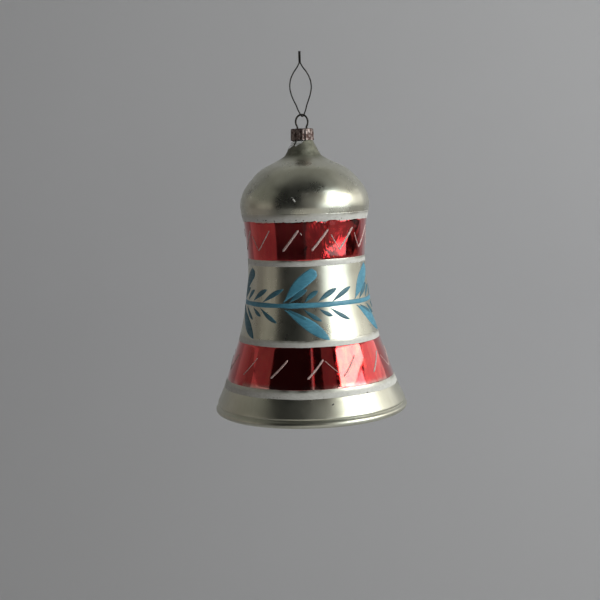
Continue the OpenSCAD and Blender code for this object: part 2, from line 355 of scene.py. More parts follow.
def satin_silver():
    """Silvered glass under a thin matt lacquer, yellowed, with rubbed streaks and dark pin-holes."""
    m = Material("satin_silver", Metallic=1.0, Coat_Weight=0.25, Coat_Roughness=0.3)
    cloud = m.ramp(m.noise(14 * MM, 4), 0.3, 0.7)
    streak = m.ramp(m.noise(2.2 * MM, 3, 0.6, m.stretched(1, 1, 0.12)), 0.35, 0.7)
    tone = m.mix(cloud, (0.64, 0.635, 0.53), (0.72, 0.715, 0.61))
    tone = m.mix(m.math("MULTIPLY", streak, 0.3), tone, (0.56, 0.545, 0.43))
    holes = m.ramp(m.cells(2.6 * MM), 0.05, 0.09, 1.0, 0.0)
    patchy = m.ramp(m.noise(9 * MM, 2), 0.60, 0.70)
    holes = m.math("MULTIPLY", holes, patchy)
    tone = m.mix(holes, tone, (0.13, 0.12, 0.10))
    dust = m.ramp(m.cells(1.1 * MM), 0.06, 0.11, 1.0, 0.0)
    dusty = m.ramp(m.noise(6 * MM, 3, 0.6), 0.50, 0.64)
    tone = m.mix(m.math("MULTIPLY", dust, dusty), tone, (0.86, 0.84, 0.78))
    # Darker in patches and duller towards the neck
    neck = m.ramp(m.along("Z"), 84.5 * MM, 87.5 * MM)
    neck_patches = m.ramp(m.noise(2.5 * MM, 4, 0.6), 0.3, 0.7, 0.7, 1.0)
    m.set("Base Color", m.mix(m.math("MULTIPLY", neck, neck_patches), tone, (0.19, 0.19, 0.15)))
    haze = m.ramp(m.noise(7 * MM, 5, 0.6), 0.3, 0.75, 0.25, 0.33)
    skirt = m.ramp(m.along("Z"), 6 * MM, 9.5 * MM, 0.05, 0.0)
    duller = m.math("ADD", skirt, m.math("MULTIPLY", neck, 0.42))
    m.set("Roughness", m.math("ADD", haze, m.math("ADD", duller, m.math("MULTIPLY", streak, 0.03))))
    m.bump(m.noise(0.35 * MM, 2), 0.005 * MM, 0.5)
    m.bump(m.noise(9 * MM, 2, 0.4, m.stretched(1, 1, 0.5)), 0.03 * MM, 0.5)
    return m.data


def mirror_silver():
    """Silvering seen through clear glass inside the mouth, with tarnish spots."""
    m = Material("mirror_silver", Metallic=1.0, Coat_Weight=1.0, Coat_Roughness=0.03)
    tarnish = m.ramp(m.noise(8 * MM, 5, 0.65), 0.52, 0.72)
    tone = m.mix(tarnish, (0.82, 0.81, 0.77), (0.55, 0.50, 0.40))
    holes = m.ramp(m.cells(3.1 * MM), 0.06, 0.10, 1.0, 0.0)
    m.set("Base Color", m.mix(m.math("MULTIPLY", holes, tarnish), tone, (0.10, 0.09, 0.07)))
    m.set("Roughness", m.ramp(m.noise(5 * MM, 3), 0.3, 0.7, 0.08, 0.2))
    m.bump(m.noise(9 * MM, 2), 0.12 * MM, 0.5)
    return m.data


def clear_glass():
    """The unsilvered neck: clear glass with a faint grey bloom."""
    m = Material("clear_glass", Transmission_Weight=1.0, IOR=1.5)
    m.set("Base Color", m.mix(m.ramp(m.noise(2 * MM, 4), 0.4, 0.7), (0.96, 0.97, 0.95), (0.82, 0.82, 0.78)))
    m.set("Roughness", m.ramp(m.noise(1.5 * MM, 3), 0.45, 0.7, 0.02, 0.18))
    m.bump(m.noise(3 * MM, 2), 0.03 * MM, 0.4)
    return m.data


def red_lacquer(name, smears, fade_z):
    """Transparent red lacquer over silvering: a red mirror, with smears that deep on the right.

    It is thin at fade_z and whole from 2 mm above it.
    """
    m = Material(name, Metallic=1.0, Coat_Weight=1.0, Coat_IOR=1.6, Coat_Roughness=0.04)
    runs = m.ramp(m.noise(1.6 * MM, 3, 0.6, m.stretched(1, 1, 0.1)), 0.35, 0.75)
    pool = m.ramp(m.noise(8 * MM, 4, 0.55), 0.35, 0.7)
    tone = m.mix(pool, (0.74, 0.030, 0.038), (0.56, 0.011, 0.020))
    tone = m.mix(m.math("MULTIPLY", runs, 0.4), tone, (0.82, 0.10, 0.06))
    thin = m.ramp(m.along("Z"), fade_z - 0.6 * MM, fade_z + 2.0 * MM, 1.0, 0.0)
    thin = m.math("MULTIPLY", thin, m.ramp(m.noise(5 * MM, 4), 0.3, 0.6))
    m.set("Base Color", m.mix(thin, tone, (0.62, 0.42, 0.38)))
    m.set("Roughness", m.ramp(m.noise(3 * MM, 4, 0.6), 0.4, 0.75, 0.05, 0.16))
    wavy = m.noise(4.5 * MM, 3, 0.45, m.stretched(1, 1, 0.4), 0.8)
    wiped = m.math("MULTIPLY", wavy, m.ramp(m.along("X"), -3 * MM, 3 * MM))
    m.bump(wiped, smears, 0.7)
    m.bump(m.noise(1.1 * MM, 2, 0.5, m.stretched(1, 1, 0.08)), 0.012 * MM, 0.5)
    return m.data


def white_stripe(name, node, dirt):
    """Thin milky paint, dense along its lower edge and worn through to the silver above; dirt darkens it."""
    low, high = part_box(node)[0].z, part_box(node)[1].z
    m = Material(name, Coat_Weight=0.05, Coat_Roughness=0.3)
    streak = m.ramp(m.noise(1.4 * MM, 4, 0.6, m.stretched(1, 1, 2.5)), 0.3, 0.7)
    cloud = m.ramp(m.noise(4 * MM, 4, 0.6), 0.35, 0.7)
    worn = m.ramp(m.along("Z"), low + 0.4 * (high - low), high, 0.05, 0.85)
    worn = m.math("MULTIPLY", worn, m.ramp(cloud, 0.0, 1.0, 0.6, 1.0))
    tone = m.mix(streak, (0.68, 0.67, 0.64), (0.80, 0.79, 0.76))
    tone = m.mix(m.math("MULTIPLY", cloud, 0.3), tone, (0.58, 0.56, 0.52))
    tone = m.mix(worn, tone, (0.60, 0.59, 0.50))
    edge = m.ramp(m.along("Z"), low + 0.3 * MM, low + 1.1 * MM, dirt, 0.1 * dirt)
    specks = m.math("MULTIPLY", m.ramp(m.cells(1.3 * MM), 0.14, 0.2, 1.0, 0.0), edge)
    m.set("Base Color", m.mix(specks, tone, (0.10, 0.05, 0.04)))
    m.set("Metallic", m.ramp(worn, 0.0, 0.8, 0.12, 1.0))
    m.set("Roughness", m.ramp(worn, 0.0, 0.8, 0.58, 0.36))
    m.bump(m.noise(0.8 * MM, 3), 0.02 * MM, 0.5)
    return m.data


def fleck_paint(name, tone):
    """A spot of something dry and dull."""
    m = Material(name, Roughness=0.6)
    m.set("Base Color", m.mix(m.noise(0.4 * MM, 3), tone, tuple(0.7 * c for c in tone)))
    return m.data


def blue_paint(name, pale, deep, wash_tone):
    """Brushed-on blue, thinner where the brush lifted."""
    m = Material(name, Coat_Weight=0.15, Coat_Roughness=0.3)
    bristle = m.ramp(m.noise(0.7 * MM, 4, 0.6, m.stretched(0.35, 0.35, 1)), 0.3, 0.7)
    wash = m.ramp(m.noise(5 * MM, 3), 0.35, 0.7)
    tone = m.mix(bristle, deep, pale)
    m.set("Base Color", m.mix(m.math("MULTIPLY", wash, 0.5), tone, wash_tone))
    m.set("Roughness", m.ramp(bristle, 0.0, 1.0, 0.5, 0.38))
    m.bump(bristle, 0.03 * MM, 0.5)
    return m.data


def glitter():
    """Fine glass grains stuck to a line of glue."""
    m = Material("glitter", Metallic=0.15, Coat_Weight=0.3, Coat_Roughness=0.2)
    grain = m.cells(0.22 * MM)
    tint = m.ramp(m.noise(1.2 * MM, 3), 0.3, 0.7)
    tone = m.mix(tint, (0.68, 0.52, 0.49), (0.80, 0.72, 0.69))
    m.set("Base Color", m.mix(m.ramp(grain, 0.35, 0.7), tone, (0.55, 0.30, 0.29)))
    m.set("Roughness", m.ramp(grain, 0.1, 0.6, 0.25, 0.6))
    m.bump(grain, 0.12 * MM, 0.7)
    return m.data


def cap_metal():
    """Thin tinned sheet, its plating gone coppery brown in patches."""
    m = Material("cap_metal", Metallic=1.0)
    rust = m.ramp(m.noise(1.3 * MM, 5, 0.65), 0.42, 0.62)
    soot = m.ramp(m.noise(0.8 * MM, 4, 0.6), 0.5, 0.7)
    tone = m.mix(rust, (0.32, 0.26, 0.245), (0.11, 0.065, 0.058))
    m.set("Base Color", m.mix(m.math("MULTIPLY", soot, 0.85), tone, (0.05, 0.042, 0.04)))
    m.set("Roughness", m.ramp(rust, 0.0, 1.0, 0.42, 0.65))
    m.bump(m.noise(0.5 * MM, 4), 0.04 * MM, 0.5)
    return m.data


def dark_wire(name, base, edge):
    """Oxidised steel wire, with its surface rubbed in places."""
    m = Material(name, Metallic=0.8)
    rub = m.ramp(m.noise(0.9 * MM, 4, 0.6), 0.5, 0.72)
    m.set("Base Color", m.mix(rub, base, edge))
    m.set("Roughness", m.ramp(rub, 0.0, 1.0, 0.5, 0.32))
    m.bump(m.noise(0.25 * MM, 3), 0.02 * MM, 0.5)
    return m.data


def plain_floor():
    """Pale matt paint, hardly uneven."""
    m = Material("pale_floor", Roughness=0.9)
    m.set("Base Color", m.mix(m.noise(0.25, 2), (0.63, 0.625, 0.655), (0.67, 0.665, 0.70)))
    return m.data


SATIN, MIRROR, CLEAR = satin_silver(), mirror_silver(), clear_glass()
UPPER_RED = red_lacquer("upper_red_lacquer", 0.45 * MM, 0)
LOWER_RED = red_lacquer("lower_red_lacquer", 0.05 * MM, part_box("lower_red_band")[0].z)
GLITTER, TIN = glitter(), cap_metal()
BLUE = blue_paint("blue_paint", (0.13, 0.42, 0.57), (0.075, 0.30, 0.44), (0.05, 0.22, 0.33))
# The small leaves' deep blue, also used on the left sprig's big leaves as painted shade
TEAL = blue_paint("deep_blue_and_painted_shade", (0.055, 0.19, 0.25), (0.03, 0.12, 0.17), (0.08, 0.26, 0.36))
SPRING = dark_wire("spring_wire", (0.030, 0.028, 0.026), (0.16, 0.14, 0.12))
HANGER = dark_wire("hanger_wire", (0.022, 0.020, 0.019), (0.10, 0.09, 0.08))
CLAPPER = dark_wire("clapper_wire", (0.20, 0.19, 0.17), (0.42, 0.40, 0.37))


# ---------------------------------------------------------------- glass
def uneven_sleeve(point):
    """A point of the silver's top sleeve, moved along the neck so that the edge is lower on the left."""
    angle = math.atan2(point[0], -point[1])
    lip_z = SILVER_LIP_Z + 1.9 * MM * math.sin(angle) + 0.5 * MM * ripple(angle, 0, 5 * MM, 4)
    share = (point[2] - SLEEVE_Z) / (SILVER_LIP_Z - SLEEVE_Z)
    height = SLEEVE_Z + share * (lip_z - SLEEVE_Z)
    radius = radius_at(height) + math.hypot(point[0], point[1]) - radius_at(point[2])
    return radius * math.sin(angle), -radius * math.cos(angle), height


def glass_skin():
    """The silvered double wall: outside, rim bead, mouth side, and the pit below the clear neck."""
    rim_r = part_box("glass_bell")[1].x
    crown_r = 1.2 * MM  # flat middle of the inner bell's crown
    pit_gap = 0.06 * MM  # between the clear glass and the pit's wall
    pit_foot, pit_depth, pit_spread = 83.0, 6 * MM, 3 * MM  # foot in mm; floor below and outside of it
    under, over = 0.005 * MM, 0.012 * MM  # the sleeve's two faces, below and above the neck's surface
    centre = np.array([rim_r - BEAD_R, BEAD_R])
    bead_angles = np.radians(np.arange(57, -176, -8))  # from the groove, outwards and round under
    bead = [centre + BEAD_R * np.array([math.cos(a), math.sin(a)]) for a in bead_angles]
    crown = [(crown_r, mouth_side[-1, 1]), (0.0, mouth_side[-1, 1])]
    wall_down = outside[(outside[:, 1] < SLEEVE_Z) & (outside[:, 1] >= GROOVE_Z)][::-1]
    pit_heights = np.arange(pit_foot, NECK_SEAM_Z / MM, 0.4) * MM
    pit = [(radius_at(z) - WALL - pit_gap, z) for z in pit_heights]
    floor_z = pit[0][1] - pit_depth
    sleeve = np.linspace(SLEEVE_Z, SILVER_LIP_Z, 14)
    lining = [(radius_at(z) - under, z) for z in [NECK_SEAM_Z, *sleeve]]
    cover = [(radius_at(z) + over, z) for z in sleeve[::-1]]
    inner = smooth_line(mouth_side, 0.4 * MM)
    outline = [(0.0, floor_z), (pit[0][0] + pit_spread, floor_z)]
    outline += pit + lining + cover + [tuple(p) for p in wall_down]
    outline += [tuple(p) for p in bead] + [tuple(p) for p in inner] + crown
    points, faces = lathe(outline)
    for k in np.flatnonzero(points[:, 2] > SLEEVE_Z):
        points[k] = uneven_sleeve(points[k])
    skin = mesh_piece(
        "silvered_bell", (points, faces), SATIN, "bell",
        ["glass_bell", "silver_lining"], sharp=50,
    )
    skin.data.materials.append(MIRROR)
    for face in skin.data.polygons:
        wall_r = radius_at(face.center.z) if face.center.z > GROOVE_Z else rim_r - BEAD_R
        if face.center.xy.length < wall_r - WALL / 2:
            face.material_index = 1


def glass_neck():
    """The clear neck, with a rounded, fire-polished lip."""
    inset = 0.02 * MM  # keeps the clear glass inside the silver's sleeve
    heights = np.append(np.arange(NECK_SEAM_Z, NECK_TOP_Z - WALL / 2, 0.3 * MM), NECK_TOP_Z - WALL / 2)
    out = [(radius_at(z) - inset, z) for z in heights]
    middle = (radius_at(NECK_TOP_Z) - WALL / 2, heights[-1])
    lip = [
        (middle[0] + WALL / 2 * math.cos(a), middle[1] + WALL / 2 * math.sin(a))
        for a in np.radians(np.arange(15, 180, 15))
    ]
    back = [(radius_at(z) - WALL, z) for z in heights[::-1]]
    mesh_piece("clear_neck", lathe(out + lip + back, 120), CLEAR, "bell", sharp=60)


# ---------------------------------------------------------------- paint
GRAIN = 0.3 * MM  # size of the lumps in a line of glitter


def hand_edge(angle, seed):
    """How far a hand-painted edge strays, as a share of its wander: long waves with short ones on them."""
    return ripple(angle, 0, 7 * MM, seed) + 0.5 * ripple(angle, 0, 1.6 * MM, seed + 5)


def painted_ring(name, node, thickness, wander, seed, material, grow=0.0, ragged=0.0, splashes=()):
    """A painted band round the bell, between its CAD node's heights, with hand-painted edges.

    ragged roughens the top edge, and splashes are (degrees, half width in degrees, rise) of its top.
    """
    low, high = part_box(node)[0].z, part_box(node)[1].z
    across = np.concatenate([[0, 0.02, 0.06], np.linspace(0.12, 0.88, 12), [0.94, 0.98, 1]])
    rings = []
    for k in range(PAINT_COLUMNS):
        a = TURN * k / PAINT_COLUMNS
        bottom = low - grow + wander * hand_edge(a, seed)
        top = high + grow + wander * hand_edge(a, seed + 2)
        top += ragged * max(0, ripple(a, 0, 0.9 * MM, seed + 9))
        for middle, half, rise in splashes:
            away = (math.degrees(a) - middle + 180) % 360 - 180
            top += rise * math.exp(-((away / half) ** 4))
        heights = bottom + (top - bottom) * across
        lift = thickness * np.sin(np.pi * np.clip(across, 0, 1)) ** 0.3
        face = on_skin(a, heights, lift)
        back = on_skin(a, heights[[-1, len(across) // 2, 0]], -PAINT_SINK)
        rings.append(np.vstack([face, back]))
    mesh_piece(name, tube(rings, True), material, "bell", [node])


def stroke(line, widths, thickness, sides=9, grain=0.0, seed=0):
    """A brush stroke along a line of (angle in radians, height), domed across, widths along it.

    grain is the height of lumps on it.
    """
    line = np.asarray(line, float)
    radius = radius_at(line[:, 1])
    ahead = np.vstack([line[1:], line[-1:]]) - np.vstack([line[:1], line[:-1]])
    heading = np.stack([ahead[:, 0] * radius, ahead[:, 1]], axis=1)
    heading /= np.linalg.norm(heading, axis=1)[:, None]
    across = np.stack([-heading[:, 1], heading[:, 0]], axis=1)
    u = np.linspace(-1, 1, sides)
    rings = []
    for point, r, side, width in zip(line, radius, across, widths):
        offset = u[:, None] * side * width / 2
        angles = point[0] + offset[:, 0] / r
        heights = point[1] + offset[:, 1]
        lift = thickness * np.sqrt(np.clip(1 - u**2, 0, 1)) * min(1, width / (2 * thickness))
        if grain:
            spots = [Vector((a * r, z, seed * MM)) / GRAIN for a, z in zip(angles, heights)]
            lift = lift + [grain * (0.5 + noise.noise(spot)) for spot in spots] * (1 - u**2)
        face = on_skin(angles, heights, lift)
        back = on_skin(angles[[-1, sides // 2, 0]], heights[[-1, sides // 2, 0]], -PAINT_SINK)
        rings.append(np.vstack([face, back]))
    return tube(rings, False)


LEAF_THICKNESS = 0.16 * MM
LEAF_STEPS = 26
BROADEST, BEYOND = 0.62, 0.38  # shares of a leaf's length up to its broadest place and on from there


def leaf(base, tip, width, bend, blunt):
    """A leaf painted in one press of the brush. base and tip are (degrees, mm); bend is sideways in mm."""
    base, tip = (np.array([math.radians(q[0]), q[1] * MM]) for q in (base, tip))
    r = float(radius_at((base[1] + tip[1]) / 2))
    span = np.array([(tip[0] - base[0]) * r, tip[1] - base[1]])
    side = np.array([-span[1] / r, span[0]]) / np.linalg.norm(span)
    t = np.linspace(0, 1, LEAF_STEPS)
    line = base + t[:, None] * (tip - base) + (np.sin(np.pi * t) * bend * MM)[:, None] * side
    rise = np.sin(0.5 * np.pi * np.clip(t / BROADEST, 0, 1)) ** 1.15
    beyond = (np.clip(t - BROADEST, 0, 1) / BEYOND) ** (2 + 2 * blunt)
    fall = np.sqrt(np.clip(1 - beyond, 0, 1)) ** (0.6 if blunt else 1.5)
    return stroke(line, width * MM * np.clip(rise * fall, 0.05, 1), LEAF_THICKNESS)


SPRIG_STARTS = (-24.5, 46, 118, 193, 267.5)  # degrees round the bell
SHADED_SPRIG = 4  # the sprig on the left: its big leaves get the small leaves' darker colour as painted shade
STEM_Z, STEM_WIDTH = 38.2, 1.6  # mm
# Each leaf: degrees from its sprig's start to its base, degrees on to its tip, heights of its base and
# tip, width and sideways bend in mm, and 1 for a blunt tip
UPPER_LEAVES = [
    (2, 31, 39.2, 49.3, 4.0, 0.7, 1),
    (7, 17, 39.0, 43.4, 1.9, 0.3, 0),
    (21, 13, 39.1, 42.9, 1.7, 0.3, 0),
    (33, 19, 39.2, 43.3, 1.8, 0.3, 0),
    (46, 22, 38.9, 43.4, 1.6, 0.25, 0),
]
LOWER_LEAVES = [
    (3, 38, 37.0, 27.0, 3.7, 0.6, 0),
    (6, 17, 37.2, 33.6, 1.6, -0.2, 0),
    (20, 16, 37.2, 33.0, 1.4, -0.2, 0),
    (34, 12, 37.1, 34.5, 1.3, -0.2, 0),
    (43.5, 19, 37.3, 32.8, 1.4, -0.2, 0),
]


def garland():
    """A stem round the waist, with sprigs of big pale leaves and small dark ones above and below it."""
    count = 240
    stem_thickness = 0.15 * MM
    u = np.linspace(-1, 1, 9)
    rings = []
    for angle in TURN * np.arange(count) / count:
        height = (STEM_Z + 0.35 * ripple(angle, 0, 14 * MM, 3)) * MM
        width = (STEM_WIDTH + 0.4 * ripple(angle, 0.02, 5 * MM, 8)) * MM
        heights = height + u * width / 2
        face = on_skin(angle, heights, stem_thickness * np.sqrt(1 - u**2))
        rings.append(np.vstack([face, on_skin(angle, heights[[-1, len(u) // 2, 0]], -PAINT_SINK)]))
    big, small = [tube(rings, True)], []
    for n, start in enumerate(SPRIG_STARTS):
        for row in (UPPER_LEAVES, LOWER_LEAVES):
            for k, (at, reach, z0, z1, width, bend, blunt) in enumerate(row):
                shake = ripple(math.radians(start + at), 0.01 * k, 3 * MM, 11) if n else 0
                base = (start + at + 1.5 * shake, z0)
                tip = (base[0] + reach * (1 + 0.12 * shake), z1 + (z1 - z0) * 0.08 * shake)
                # the second sprig's big leaves were pressed harder
                broad = 1.3 if n == 1 and k == 0 else 1 + 0.15 * shake
                shape = leaf(base, tip, width * broad, bend, blunt)
                # The left sprig's big leaves go in with the small ones; their darker blue there is painted
                # shade
                (small if k or n == SHADED_SPRIG else big).append(shape)
    mesh_piece("garland_stem_and_big_leaves", joined(big), BLUE, "bell", ["leaf_garland"])
    mesh_piece("garland_small_and_shaded_leaves", joined(small), TEAL, "bell", ["leaf_garland"])


DOWN_STROKE = (0.25, 1.0)  # the part of a down stroke that is left, if worn doesn't say


def zigzag(name, node, first, ends, waves, share_up, widths, worn, faint, seed):
    """Glitter lines: a broad stroke up to the right, then a fine one down, again and again.

    first is where the first wave starts, in degrees. ends are its low and high heights and widths those
    of the up and the down stroke, in mm. share_up is the up stroke's share of a wave. worn gives the
    part of a wave's down stroke that is left, and faint lists waves with thin up strokes.
    """
    pitch = 360 / waves
    parts = []
    for k in range(waves):
        start = first + k * pitch + 1.2 * ripple(math.radians(k * pitch), 0, 5 * MM, seed)
        low = ends[0] + 0.35 * ripple(math.radians(k * pitch), 0, 4 * MM, seed + 1)
        high = ends[1] + 0.35 * ripple(math.radians(k * pitch), 0, 4 * MM, seed + 2)
        corner = start + share_up * pitch
        strokes = [((start, low), (corner, high), widths[0] * (0.5 if k in faint else 1), 0.0, 1.0)]
        left = worn.get(k, DOWN_STROKE)
        if left:
            strokes.append(((corner, high), (start + pitch, low), widths[1], *left))
        for (a0, z0), (a1, z1), width, t0, t1 in strokes:
            t = np.linspace(t0, t1, 46)
            sag = 0.35 * np.sin(np.pi * t) * (-1 if width == widths[1] else 1)
            line = np.stack([np.radians(a0 + (a1 - a0) * t + sag), (z0 + (z1 - z0) * t) * MM], axis=1)
            ends_taper = np.clip(np.minimum(t - t0, t1 - t) / 0.04, 0.25, 1)
            rough = np.array([1 + 0.18 * ripple(a, z, 0.8 * MM, seed + 4) for a, z in line])
            parts.append(stroke(line, width * MM * ends_taper * rough, 0.22 * MM, 7, 0.07 * MM, k + seed))
    mesh_piece(name, joined(parts), GLITTER, "bell", [node])


def flecks():
    """Chips and spots: (degrees, height in mm, length in mm, rise from left to right)."""
    dark = [
        (-37, 66.1, 0.8, 0.2), (-28, 65.9, 0.6, -0.3), (-47, 66.3, 0.5, 0.1), (-8, 66.0, 0.6, 0.1),
        (13, 7.2, 0.7, 0.6), (38, 9.4, 0.7, 0.2), (33, 53.4, 0.4, 0.5), (120, 30, 0.6, 0.4),
        (200, 72, 0.7, 0.2), (160, 12.5, 0.6, 0.3),
    ]
    pale = [
        (-9, 72.4, 0.9, -1.2), (-11, 73.3, 0.4, 0.3), (-60, 75.2, 1.8, 0.5), (3, 74.4, 0.3, 0.2),
        (230, 74, 1.2, 0.4),
    ]
    for name, spots, material, slot in (
        ("dark_flecks", dark, fleck_paint("dark_fleck", (0.05, 0.04, 0.04)), "blue_paint"),
        ("pale_flecks", pale, fleck_paint("pale_fleck", (0.78, 0.77, 0.73)), "white_paint"),
    ):
        shapes = []
        for angle, height, length, rise in spots:
            t = np.linspace(-0.5, 0.5, 9)
            turn = math.radians(angle) + t * length * MM / radius_at(height * MM)
            line = np.stack([turn, (height + t * length * rise) * MM], axis=1)
            widths = 0.55 * length * MM * np.sqrt(np.clip(1 - (1.9 * t) ** 2, 0.05, 1))
            shapes.append(stroke(line, widths, 0.13 * MM, 7))
        mesh_piece(name, joined(shapes), material, "bell")


# ---------------------------------------------------------------- cap, ring and hanging loop
RING_HALF_W = 2.03 * MM
RING_HALF_H = 2.4 * MM
RING_WIRE_R = 0.31 * MM
RING_END = -38  # degrees above +X at which the eye meets its leg


def ring_clip():
    """The sprung wire: a slightly oval eye over the cap and two legs that spread inside the neck."""
    centre_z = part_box("ring_clip")[1].z - RING_WIRE_R - RING_HALF_H
    eye = [
        (RING_HALF_W * math.cos(a), 0, centre_z + RING_HALF_H * math.sin(a))
        for a in np.radians(np.linspace(RING_END, 180 - RING_END, 40))
    ]
    leg = MM * np.array([
        (1.5, 0, 95.9), (1.45, 0, 94.9), (1.7, 0, 93.2), (2.15, 0, 91.8), (3.15, 0, 89.7), (3.7, 0, 88.5),
    ])
    knots = np.vstack([leg[::-1], eye, leg * (-1, 1, 1)])
    line = smooth_line(knots, 0.2 * MM)
    mesh_piece("spring_ring", wire(line, RING_WIRE_R, 14), SPRING, "cap", ["ring_clip"])


def hanging_loop():
    """A soft wire through the ring: it flares into a loop and its ends are twisted together."""
    wire_r = 0.22 * MM
    # From here on in mm
    hook_x, hook_z = 0.25, 99.93  # where the wire hangs in the ring
    centred_z = 6  # this far above the hook the loop is centred
    twist_r, turns = 0.24, 3
    twist_low, twist_high = 117.6, 121.4
    # Half of the loop from the hook: (sideways, across the ring, up)
    half = [
        (0.2, 0.46, 0.04), (0.45, 0.84, 0.4), (0.8, 1, 1.05), (1.3, 0.75, 2.2), (1.75, 0.45, 3.6),
        (2.45, 0.15, 5.3), (3.15, 0, 7.2), (3.6, 0, 9.6), (3.3, 0, 12.2), (2.2, 0, 14.6), (0.9, 0, 16.4),
    ]

    def side(s):
        return [(s * x + hook_x * max(0, 1 - z / centred_z), s * y, hook_z + z) for x, y, z in half]

    def twist(phase):
        t = np.linspace(0, 1, 10 * turns + 1)
        a = TURN * turns * t + phase
        up = twist_low + (twist_high - twist_low) * t
        return np.stack([twist_r * np.cos(a), twist_r * np.sin(a), up], axis=1)

    left, right = twist(math.pi), twist(0)
    knots = np.vstack([left[:1], side(-1)[::-1], [(hook_x, 0, hook_z)], side(1), right[:1]])
    line = np.vstack([left[::-1], smooth_line(knots, 0.35)[1:-1], right]) * MM
    shape = wire(line, wire_r, 12)
    mesh_piece("hanging_wire_loop", shape, HANGER, "hanger", ["hanging_wire"])


def cap():
    """The crimped cap: a fluted skirt that flares at its hem, a rolled edge, and two holes in the top."""
    low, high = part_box("cap")[0].z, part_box("cap")[1].z
    flutes, depth, sheet = 18, 0.1 * MM, 0.25 * MM
    roll, top, underside = 0.95, 0.99, 0.93  # shares of the height
    hole_x, hole_r, drill_turn = 1.5, 0.5 * MM, 4  # the turn, in degrees, keeps it off the top's edges
    crisp = 40  # degrees between faces from which an edge is sharp
    mean_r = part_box("cap")[1].x - depth
    height = high - low
    # From the hem up: (mm inside the mean radius, share of the height, share of the flutes' depth)
    skirt = [
        (0.02, 0.0, 1.0), (0.03, 0.25, 1.0), (0.06, 0.6, 0.9), (0.05, 0.8, 0.5), (0.04, 0.9, 0.2),
        (0.12, 0.965, 0.0), (0.35, 1.0, 0.0), (0.9, 0.992, 0.0),
    ]
    outer = [(mean_r - inside * MM, t, share) for inside, t, share in skirt] + [(2.4 * MM, top, 0.0)]
    inner = []
    for r, t, share in outer[::-1]:
        inner.append((r - sheet * (0.9 if t < roll else 0.3), min(t, underside), share))
    profile = outer + [(0.0, top, 0.0), (0.0, underside, 0.0)] + inner
    columns = flutes * 12
    points, faces = lathe([(r, low + t * height) for r, t, _ in profile], columns)
    index = 0
    for r, t, share in profile:
        count = 1 if r < AXIS_R else columns
        if share:
            for k in range(count):
                a = TURN * k / columns
                swell = 1 + depth * share * math.cos(flutes * a) / r
                points[index + k, :2] *= swell
        index += count
    piece = mesh_piece("crimped_cap", (points, faces), TIN, "cap", ["cap"], crisp)
    for x in (-hole_x, hole_x):
        hole = bpy.data.meshes.new("hole")
        drill = bmesh.new()
        place = Matrix.Translation((x * MM, 0, high)) @ Matrix.Rotation(math.radians(drill_turn), 4, "Z")
        bmesh.ops.create_cone(
            drill, cap_ends=True, segments=32, radius1=hole_r, radius2=hole_r, depth=4 * MM, matrix=place
        )
        drill.to_mesh(hole)
        drill.free()
        cutter = bpy.data.objects.new("hole", hole)
        bpy.context.scene.collection.objects.link(cutter)
        cut = piece.modifiers.new("hole", "BOOLEAN")
        cut.operation, cut.object, cut.solver = "DIFFERENCE", cutter, "EXACT"
        bpy.context.view_layer.update()
        evaluated = piece.evaluated_get(bpy.context.evaluated_depsgraph_get())
        result = bpy.data.meshes.new_from_object(evaluated)
        piece.modifiers.clear()
        piece.data = result
        bpy.data.objects.remove(cutter)
    piece.data.set_sharp_from_angle(angle=math.radians(crisp))


# ---------------------------------------------------------------- clapper
def circle(centre_z, radius, crosswise, count=48):
    """A ring of points standing on edge: in the XZ plane, or in YZ if crosswise."""
    a = TURN * np.arange(count) / count
    flat, up = radius * np.cos(a), centre_z + radius * np.sin(a)
    zero = np.zeros(count)
    return np.stack([zero, flat, up] if crosswise else [flat, zero, up], axis=1)


def clapper():
    """The eyelet in the crown, the link, the clapper's wire and its silvered bead."""
    eyelet_r, eyelet_wire = 1.5 * MM, 0.4 * MM
    low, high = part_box("clapper_eyelet")[0].z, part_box("clapper_eyelet")[1].z
    foot = [
        (0.0, high), (1.3 * MM, high), (1.0 * MM, high - 0.25 * MM), (0.7 * MM, high - 0.6 * MM),
        (0.0, high - 0.7 * MM),
    ]
    ring = wire(circle(low + eyelet_wire + eyelet_r, eyelet_r, False), eyelet_wire, 16, True)
    eyelet = joined([ring, lathe(foot, 48)])
    mesh_piece("crown_eyelet", eyelet, MIRROR, "bell", ["clapper_eyelet"])

    wire_r, link_r = 0.3 * MM, 1.3 * MM
    link_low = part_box("clapper_link")[0].z
    link = wire(circle(link_low + wire_r + link_r, link_r, True), wire_r, 14, True)
    mesh_piece("wire_link", link, CLAPPER, "clapper_link", ["clapper_link"])

    eye_r, curl_r = 1.15 * MM, 0.8 * MM
    bottom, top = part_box("clapper_wire")[0].z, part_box("clapper_wire")[1].z
    eye = wire(circle(top - wire_r - eye_r, eye_r, False), wire_r, 14, True)
    curl = wire(circle(bottom + wire_r + curl_r, curl_r, False), wire_r, 14, True)
    shank_line = [(0, 0, z) for z in np.linspace(bottom + wire_r + 2 * curl_r, top - wire_r - 2 * eye_r, 40)]
    # The wire's end is wrapped round the shank, below the eye
    wrap_r, wrap_turns, wrap_wire_r = 0.42 * MM, 4, 0.16 * MM
    wrap = []
    for t in np.linspace(0, 1, 80):
        a = TURN * wrap_turns * t
        height = shank_line[-1][2] - (0.35 + 2.4 * t) * MM
        wrap.append((wrap_r * math.cos(a), wrap_r * math.sin(a), height))
    shapes = [eye, curl, wire(shank_line, wire_r, 14), wire(wrap, wrap_wire_r, 8)]
    mesh_piece("clapper_rod", joined(shapes), CLAPPER, "clapper", ["clapper_wire"])

    ball_low, ball_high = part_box("clapper_bead")
    ball_r, bore_r = (ball_high.x - ball_low.x) / 2, 0.35 * MM
    centre = (ball_high.z + ball_low.z) / 2
    lip = math.asin(bore_r / ball_r)
    outline = [
        (ball_r * math.sin(a), centre - ball_r * math.cos(a)) for a in np.linspace(lip, math.pi - lip, 60)
    ]
    mesh_piece("clapper_ball", lathe(outline, 96), MIRROR, "clapper", ["clapper_bead"], 50)


